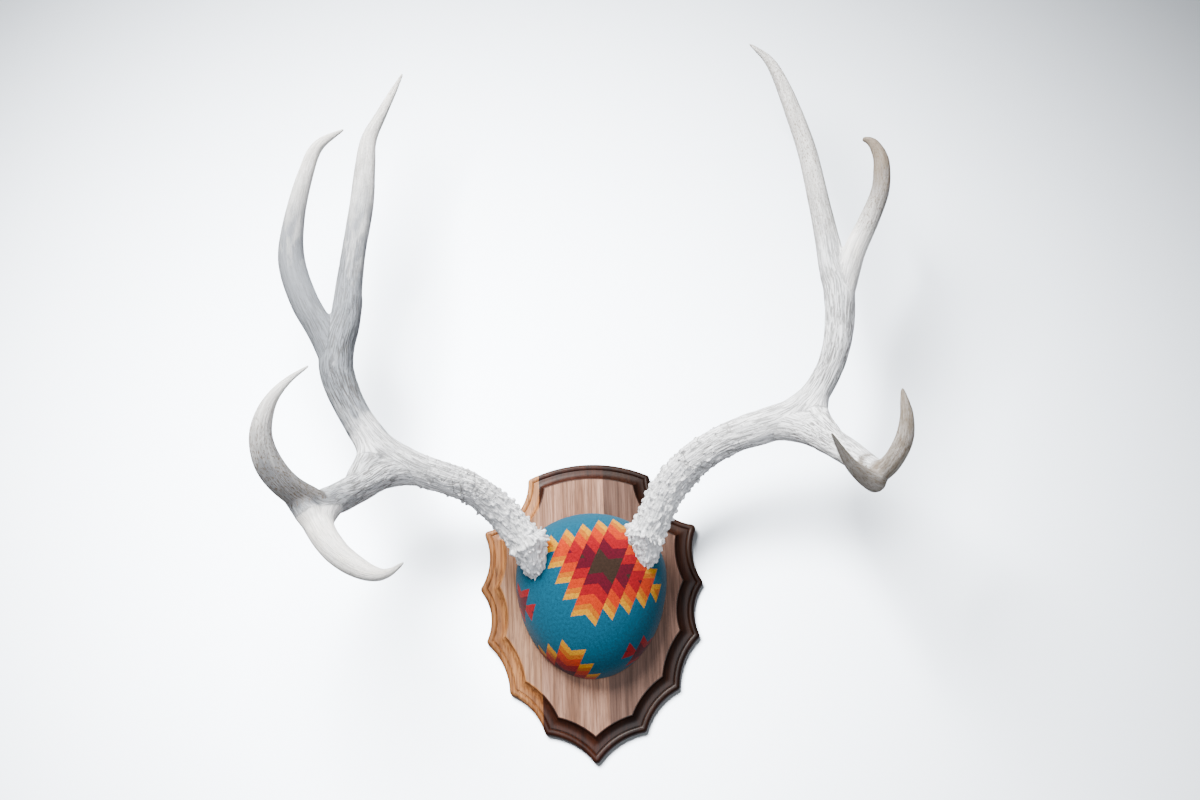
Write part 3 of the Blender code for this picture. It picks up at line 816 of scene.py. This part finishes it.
def add_tube(bm, line, sides, along):
    """A closed round tube along a line, as thick as the line says."""
    across = np.cross(along, sides)
    rings = []
    for point, side, other in zip(line, sides, across):
        ring = []
        for i in range(TUBE_SIDES):
            a = 2 * math.pi * i / TUBE_SIDES
            out = side * math.cos(a) + other * math.sin(a)
            ring.append(bm.verts.new((point[:3] + out * point[RADIUS]) * MM))
        rings.append(ring)
    for lower, upper in zip(rings, rings[1:]):
        for i in range(TUBE_SIDES):
            j = (i + 1) % TUBE_SIDES
            bm.faces.new((lower[i], lower[j], upper[j], upper[i]))
    bm.faces.new(list(reversed(rings[0])))
    bm.faces.new(rings[-1])


def burr_line(stations):
    """The short, wide stretch of the beam that the burr grows from."""
    line = centre_line(stations)
    away = np.linalg.norm(line[:, :3] - np.array(stations[BURR_STATION][:3]), axis=1)
    inside = away < BURR_HALF
    near = line[inside].copy()
    near[:, RADIUS] += BURR_SWELL * np.exp(-(away[inside] / BURR_WIDTH) ** 2)
    return near


def make_core(side, limbs):
    """The fused antler, smooth and without its pearls."""
    bm = bmesh.new()
    for line in [centre_line(s) for s in limbs.values()] + [burr_line(limbs["beam"])]:
        along, sides, _ = walk(line, np.array([0.0, 0.0, 1.0]), 0.0)
        add_tube(bm, line, sides, along)
    piece = add_piece("antler_" + side, bm)
    remesh = piece.modifiers.new("Fuse", "REMESH")
    remesh.mode, remesh.voxel_size = "VOXEL", FUSE_VOXEL * MM
    smooth = piece.modifiers.new("Web", "SMOOTH")
    smooth.iterations = FUSE_SMOOTH
    apply_modifiers(piece)
    return piece


antlers = {"left": make_core("left", LEFT), "right": make_core("right", RIGHT)}
print("cores:", {side: triangles(piece) for side, piece in antlers.items()})

# %% [markdown]
# ## Pearls and burr knobs
#
# Pearls are the bumps that antlers carry low on the beam, and the burr is a
# crown of larger knobs. Geometry Nodes scatter them: points spread evenly
# over a zone of the map, with an egg on each, laid along the beam and sunk
# in the bone. The same tree serves for knobs, pearls and small seeds, with
# other numbers.

# %% Helpers for Geometry Nodes trees
def new_tree(name, inputs):
    """A tree that takes a mesh, these inputs and the bone material."""
    tree = bpy.data.node_groups.new(name, "GeometryNodeTree")
    face = tree.interface
    face.new_socket("Geometry", in_out="OUTPUT", socket_type="NodeSocketGeometry")
    for label, kind in {"Geometry": "Geometry", **inputs, "Bone": "Material"}.items():
        face.new_socket(label, in_out="INPUT", socket_type="NodeSocket" + kind)
    return tree, put(tree, "NodeGroupInput").outputs


def end_tree(tree, shape, bone):
    """Ends a tree with plain geometry in the bone material."""
    real = put(tree, "GeometryNodeRealizeInstances", {0: shape})
    done = put(tree, "GeometryNodeSetMaterial", {"Geometry": real, "Material": bone})
    put(tree, "NodeGroupOutput", {0: done})


def add_nodes(piece, tree, **values):
    """A Geometry Nodes modifier with its inputs set by their identifiers."""
    modifier = piece.modifiers.new(tree.name, "NODES")
    modifier.node_group = tree
    for socket in tree.interface.items_tree:
        if socket.in_out == "INPUT" and socket.name in values:
            modifier[socket.identifier] = values[socket.name]


STORED = "GeometryNodeInputNamedAttribute"      # reads what map_bone gave the vertices
print("tree helpers ready")

# %% A tree that scatters bumps
SMALLEST, LARGEST = (0.55, 0.6, 0.45), (1.25, 1.2, 1.3)    # length, width and rise, as shares
DENSEST = 90000.0                          # points for each square metre, before spacing


def bump_tree():
    """Eggs laid along the beam and sunk in it, smaller where their zone fades."""
    tree, given = new_tree("bone_bumps", {"Zone": "String", "Spacing": "Float", "Length": "Float",
                                          "Width": "Float", "Rise": "Float", "Seed": "Int"})
    zone = put(tree, STORED, {"Name": given["Zone"]}, data_type="FLOAT")
    spread = put(tree, "GeometryNodeDistributePointsOnFaces",
                 {"Mesh": given["Geometry"], "Distance Min": given["Spacing"], "Density Max": DENSEST,
                  "Density Factor": zone, "Seed": given["Seed"]}, distribute_method="POISSON")
    lie = put(tree, STORED, {"Name": "along"}, data_type="FLOAT_VECTOR")
    up = put(tree, "FunctionNodeAlignRotationToVector", {"Vector": spread.outputs["Normal"]}, axis="Z")
    laid = put(tree, "FunctionNodeAlignRotationToVector", {"Rotation": up, "Vector": lie},
               axis="X", pivot_axis="Z")
    size = put(tree, "ShaderNodeCombineXYZ", {"X": given["Length"], "Y": given["Width"], "Z": given["Rise"]})
    uneven = put(tree, "FunctionNodeRandomValue", {"Min": SMALLEST, "Max": LARGEST, "Seed": given["Seed"]},
                 data_type="FLOAT_VECTOR")
    grown = put(tree, VECTOR_MATH, {0: size, 1: uneven}, operation="MULTIPLY")
    fade = put(tree, MATH, {0: zone, 1: 0.55, 2: 0.45}, operation="MULTIPLY_ADD")
    grown = put(tree, VECTOR_MATH, {0: grown, "Scale": fade}, operation="SCALE")
    egg = put(tree, "GeometryNodeMeshIcoSphere", {"Radius": 1.0, "Subdivisions": 3})
    eggs = put(tree, "GeometryNodeInstanceOnPoints",
               {"Points": spread, "Instance": egg, "Rotation": laid, "Scale": grown})
    both = put(tree, "GeometryNodeJoinGeometry")
    for part in (eggs.outputs[0], given["Geometry"]):
        tree.links.new(part, both.inputs[0])
    end_tree(tree, both, given["Bone"])
    return tree


BUMPS = bump_tree()
print("bump tree has", len(BUMPS.nodes), "nodes")

# %% [markdown]
# ## Weathered bone
#
# Antler that has lain in the sun turns chalky white, with a cream core that
# shows on the worn tines. In places it is greyed, partly as painted shade on
# limbs turned from the light, and elsewhere stained tan with brown specks.
# Dark grooves and crazing run along each limb, because the shader reads the
# map of the bone, and broader cracks part the plates where the pearls thin
# out. Painted shade darkens the hollows of the grooves and plates. The finest
# lines are bump, because they are finer than the mesh.

# %% Bone material
BONE_COLOURS = {"chalk": "#F6F7F9", "grey_and_shade": "#888D94", "cream": "#F7F3EB", "tan": "#786D60",
                "umber": "#5F4E3C", "crack_and_shade": "#3F3A34"}


def bone_material():
    """Bleached bone: its zones, streaks, stains, specks and cracks, with painted shade in its hollows and on
    its greyed limbs.
    """
    material, tree, shader = new_material("sun_bleached_antler", Roughness=0.72, IOR=1.5)
    grain = put(tree, "ShaderNodeAttribute", attribute_name="grain").outputs["Vector"]
    zone = {name: put(tree, "ShaderNodeAttribute", attribute_name=name).outputs["Fac"]
            for name in ("grey_and_shade", "tine", "stain", "pearl", "hollow_shade", "fork")}
    colour = {name: linear(value) for name, value in BONE_COLOURS.items()}

    def longer(point, width_mm, length_mm):
        """The map scaled so that one unit is this wide round the limb and this long."""
        scale = (1 / width_mm, 1 / width_mm, 1 / length_mm)
        return put(tree, "ShaderNodeMapping", {"Vector": point, "Scale": scale})

    wander = put(tree, NOISE, {"Vector": longer(grain, 9.0, 26.0), "Scale": 1.0, "Detail": 1.0})
    wander = put(tree, VECTOR_MATH, {0: wander.outputs["Color"], "Scale": 3.5}, operation="SCALE")
    wavy = put(tree, VECTOR_MATH, {0: grain, 1: wander}, operation="ADD")

    def along_limb(width_mm, length_mm, low, high, detail=3.0):
        """0 to 1 as a noise with features this wide round the limb and this long goes from low to high."""
        noise = put(tree, NOISE, {"Vector": longer(wavy, width_mm, length_mm), "Scale": 1.0,
                                  "Detail": detail, "Roughness": 0.6})
        return put(tree, RANGE, {0: noise, 1: low, 2: high})

    def crazing(width_mm, length_mm, line):
        """Cracks between cells this wide round the limb and this long."""
        cells = put(tree, CELLS, {"Vector": longer(wavy, width_mm, length_mm), "Scale": 1.0},
                    feature="DISTANCE_TO_EDGE")
        return put(tree, RANGE, {0: cells, 1: line / 3, 2: line, 3: 1.0, 4: 0.0})

    def both(one, two):
        """How far both of two things hold."""
        return put(tree, MATH, {0: one, 1: two}, operation="MULTIPLY")

    def partly(value, share, at_least=0.0):
        """The value times a share, on top of a least amount."""
        return put(tree, MATH, {0: value, 1: share, 2: at_least}, operation="MULTIPLY_ADD")

    def tinted(bone, amount, name):
        """The bone with one of its colours over it, by an amount from 0 to 1."""
        return put(tree, MIX, {0: amount, 6: bone, 7: colour[name]}, data_type="RGBA")

    patches = along_limb(9.0, 30.0, 0.4, 0.62)
    streaks = along_limb(1.4, 42.0, 0.45, 0.6)
    bone = tinted(colour["chalk"], both(zone["tine"], partly(patches, 0.4, 0.5)), "cream")
    # Grey over the chalk: partly weathering, partly painted shade on limbs turned from the light
    bone = tinted(bone, both(zone["grey_and_shade"], partly(patches, 0.5, 0.7)), "grey_and_shade")
    bone = tinted(bone, partly(streaks, 0.34), "grey_and_shade")
    bone = tinted(bone, both(zone["stain"], along_limb(5.0, 14.0, -0.2, 0.8)), "tan")
    least = put(tree, MATH, {0: partly(zone["stain"], 3.0), 1: 0.75}, operation="MINIMUM")
    bone = tinted(bone, both(along_limb(1.1, 2.8, 0.54, 0.6, detail=2.0), least), "umber")

    # Grooves and crazing, fainter on tines, forks and pearls, and cracks round the plates
    scattered = along_limb(10.0, 18.0, 0.46, 0.54)
    crazed = both(partly(crazing(3.4, 22.0, 0.09), 0.5), scattered)
    lines = put(tree, MATH, {0: along_limb(0.8, 26.0, 0.515, 0.555), 1: crazed}, operation="MAXIMUM")
    for name, share in (("tine", -0.8), ("fork", -0.3), ("pearl", -0.5)):
        lines = both(lines, partly(zone[name], share, 1.0))
    half_pearled = both(zone["pearl"], partly(zone["pearl"], -4.0, 4.0))
    flaked = both(both(crazing(7.5, 9.0, 0.09), half_pearled), scattered)
    lines = put(tree, MATH, {0: lines, 1: flaked}, operation="MAXIMUM")
    bone = tinted(bone, partly(lines, 0.75), "crack_and_shade")
    # Painted shade in the hollows of the grooves and along the plates' edges
    bone = tinted(bone, partly(zone["hollow_shade"], 0.12), "crack_and_shade")

    chalky = put(tree, NOISE, {"Vector": grain, "Scale": 1 / 0.9, "Detail": 3.0})
    height = partly(streaks, -0.3, partly(lines, -0.9, partly(chalky, 0.35)))
    cover(tree, shader, bone, put(tree, "ShaderNodeBump", {"Strength": 0.8, "Distance": 1.0 * MM,
                                                           "Height": height}))
    return material


ANTLER = bone_material()
print("bone material has", len(ANTLER.node_tree.nodes), "nodes")

# %% [markdown]
# ## Grooves and flakes
#
# Blood vessels of the velvet leave grooves along a growing antler, and
# weather lifts its skin in plates. A second tree pushes the skin along its
# normal: broad unevenness, grooves from a stretched noise, and plates from
# cell edges on the pearled part. It also notes how deep each point lies, and
# the shader paints shade into the hollows with that.

# %% A tree that weathers the skin
UNEVEN = 1.6                               # mm of broad swelling from hollow to hill


def weather_tree():
    """Swellings, grooves and plates, pushed in along the skin's normal."""
    tree, given = new_tree("weathered_skin", {"Groove Depth": "Float", "Groove Width": "Float",
                                              "Plate Depth": "Float", "Plate Size": "Float"})
    grain = put(tree, STORED, {"Name": "grain"}, data_type="FLOAT_VECTOR")
    pearl, tine, fork = (put(tree, STORED, {"Name": name}, data_type="FLOAT")
                         for name in ("pearl", "tine", "fork"))

    def stretched(width, length_times):
        """The grain, scaled so that one unit is this wide and longer along."""
        wide = put(tree, MATH, {0: 1.0, 1: width}, operation="DIVIDE")
        long = put(tree, MATH, {0: wide, 1: length_times}, operation="DIVIDE")
        scale = put(tree, "ShaderNodeCombineXYZ", {0: wide, 1: wide, 2: long})
        return put(tree, VECTOR_MATH, {0: grain, 1: scale}, operation="MULTIPLY")

    def both(one, two):
        """How far both of two things hold."""
        return put(tree, MATH, {0: one, 1: two}, operation="MULTIPLY")

    def less(zone, share):
        """1 outside a zone, and less by a share in it."""
        return put(tree, MATH, {0: zone, 1: -share, 2: 1.0}, operation="MULTIPLY_ADD")

    def near_zero(value, limit):
        """1 where a value is 0, and 0 from the limit on."""
        return put(tree, RANGE, {0: value, 2: limit, 3: 1.0, 4: 0.0})

    calm = less(tine, 0.8)
    lines = put(tree, NOISE, {"Vector": stretched(given["Groove Width"], 14.0), "Scale": 1.0,
                              "Roughness": 0.55})
    ridge = put(tree, MATH, {0: lines, 1: 0.5}, operation="SUBTRACT")
    ridge = put(tree, MATH, {0: ridge}, operation="ABSOLUTE")
    groove = both(both(near_zero(ridge, 0.075), calm), less(fork, 0.7))

    rough = put(tree, NOISE, {"Vector": stretched(4.0, 1.0), "Scale": 1.0}).outputs["Color"]
    ragged = put(tree, VECTOR_MATH, {0: rough, "Scale": 0.55}, operation="SCALE")
    ragged = put(tree, VECTOR_MATH, {0: ragged, 1: stretched(given["Plate Size"], 1.5)}, operation="ADD")
    plate = put(tree, CELLS, {"Vector": ragged, "Scale": 1.0}).outputs["Color"]
    lift = put(tree, "ShaderNodeSeparateXYZ", {0: plate})
    edge = near_zero(put(tree, CELLS, {"Vector": ragged, "Scale": 1.0}, feature="DISTANCE_TO_EDGE"), 0.1)
    sunk = both(put(tree, MATH, {0: edge, 1: 0.35, 2: lift}, operation="MULTIPLY_ADD"), pearl)

    depth = put(tree, MATH, {0: groove, 1: given["Groove Depth"], 2: both(sunk, given["Plate Depth"])},
                operation="MULTIPLY_ADD")
    broad = put(tree, NOISE, {"Vector": stretched(11.0, 2.2), "Scale": 1.0, "Detail": 1.0})
    swell = put(tree, RANGE, {0: broad, 3: -UNEVEN / 2 * MM, 4: UNEVEN / 2 * MM}, clamp=False)
    push = put(tree, MATH, {0: both(swell, calm), 1: depth}, operation="SUBTRACT")
    normal = put(tree, "GeometryNodeInputNormal")
    offset = put(tree, VECTOR_MATH, {0: normal, "Scale": push}, operation="SCALE")
    # Grooves and the plates' edges on the pearls, noted for the shader's painted shade
    hollow_shade = put(tree, MATH, {0: both(both(edge, pearl), 0.5), 1: both(groove, 0.6)}, operation="MAXIMUM")
    noted = put(tree, "GeometryNodeStoreNamedAttribute",
                {"Geometry": given["Geometry"], "Name": "hollow_shade", "Value": hollow_shade},
                data_type="FLOAT", domain="POINT")
    end_tree(tree, put(tree, "GeometryNodeSetPosition", {"Geometry": noted, "Offset": offset}), given["Bone"])
    return tree


WEATHER = weather_tree()
print("weather tree has", len(WEATHER.nodes), "nodes")

# %% Finish both antlers
SKIN_VOXEL = 0.65                          # fine enough to hold a pearl
SKIN_SOFTENING = 0.35
MOST_TRIANGLES = 188000
# The kinds of bump, coarse to fine: zone, spacing, length, width and rise in mm
BUMP_KINDS = [("burr", 5.4, 3.2, 2.4, 4.8), ("pearl", 7.4, 3.4, 1.9, 2.5), ("pearl", 4.2, 1.8, 1.2, 1.3)]
WEAR = {"Groove Depth": 0.45 * MM, "Groove Width": 3.4, "Plate Depth": 1.1 * MM, "Plate Size": 6.0}


def keep_largest(piece):
    """Keeps the biggest connected surface of a mesh."""
    bm = bmesh.new()
    bm.from_mesh(piece.data)
    left, largest = set(bm.verts), []
    while left:
        group = [left.pop()]
        for vert in group:
            for edge in vert.link_edges:
                other = edge.other_vert(vert)
                if other in left:
                    left.discard(other)
                    group.append(other)
        largest = max(largest, group, key=len)
    keep = set(largest)
    bmesh.ops.delete(bm, geom=[v for v in bm.verts if v not in keep], context="VERTS")
    bm.to_mesh(piece.data)
    bm.free()


def finish_antler(side, seed):
    """Adds the bumps, fuses them to one skin, weathers it and puts it in place."""
    piece, table = antlers[side], BONE[side]
    map_bone(piece, table)
    for i, (zone, spacing, length, width, rise) in enumerate(BUMP_KINDS):
        add_nodes(piece, BUMPS, Zone=zone, Spacing=spacing * MM, Length=length * MM, Width=width * MM,
                  Rise=rise * MM, Seed=seed + i, Bone=ANTLER)
    remesh = piece.modifiers.new("Skin", "REMESH")
    remesh.mode, remesh.voxel_size = "VOXEL", SKIN_VOXEL * MM
    soften = piece.modifiers.new("Soften", "SMOOTH")
    soften.iterations, soften.factor = 1, SKIN_SOFTENING
    apply_modifiers(piece)
    keep_largest(piece)
    map_bone(piece, table)
    add_nodes(piece, WEATHER, **WEAR, Bone=ANTLER)
    apply_modifiers(piece)
    fewer = piece.modifiers.new("Fewer", "DECIMATE")
    fewer.ratio = min(1.0, MOST_TRIANGLES / triangles(piece))
    apply_modifiers(piece)
    piece.data.shade_smooth()
    settle(piece, "antler", *[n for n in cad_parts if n.startswith("antler_" + side)])


finish_antler("left", 3)
finish_antler("right", 8)
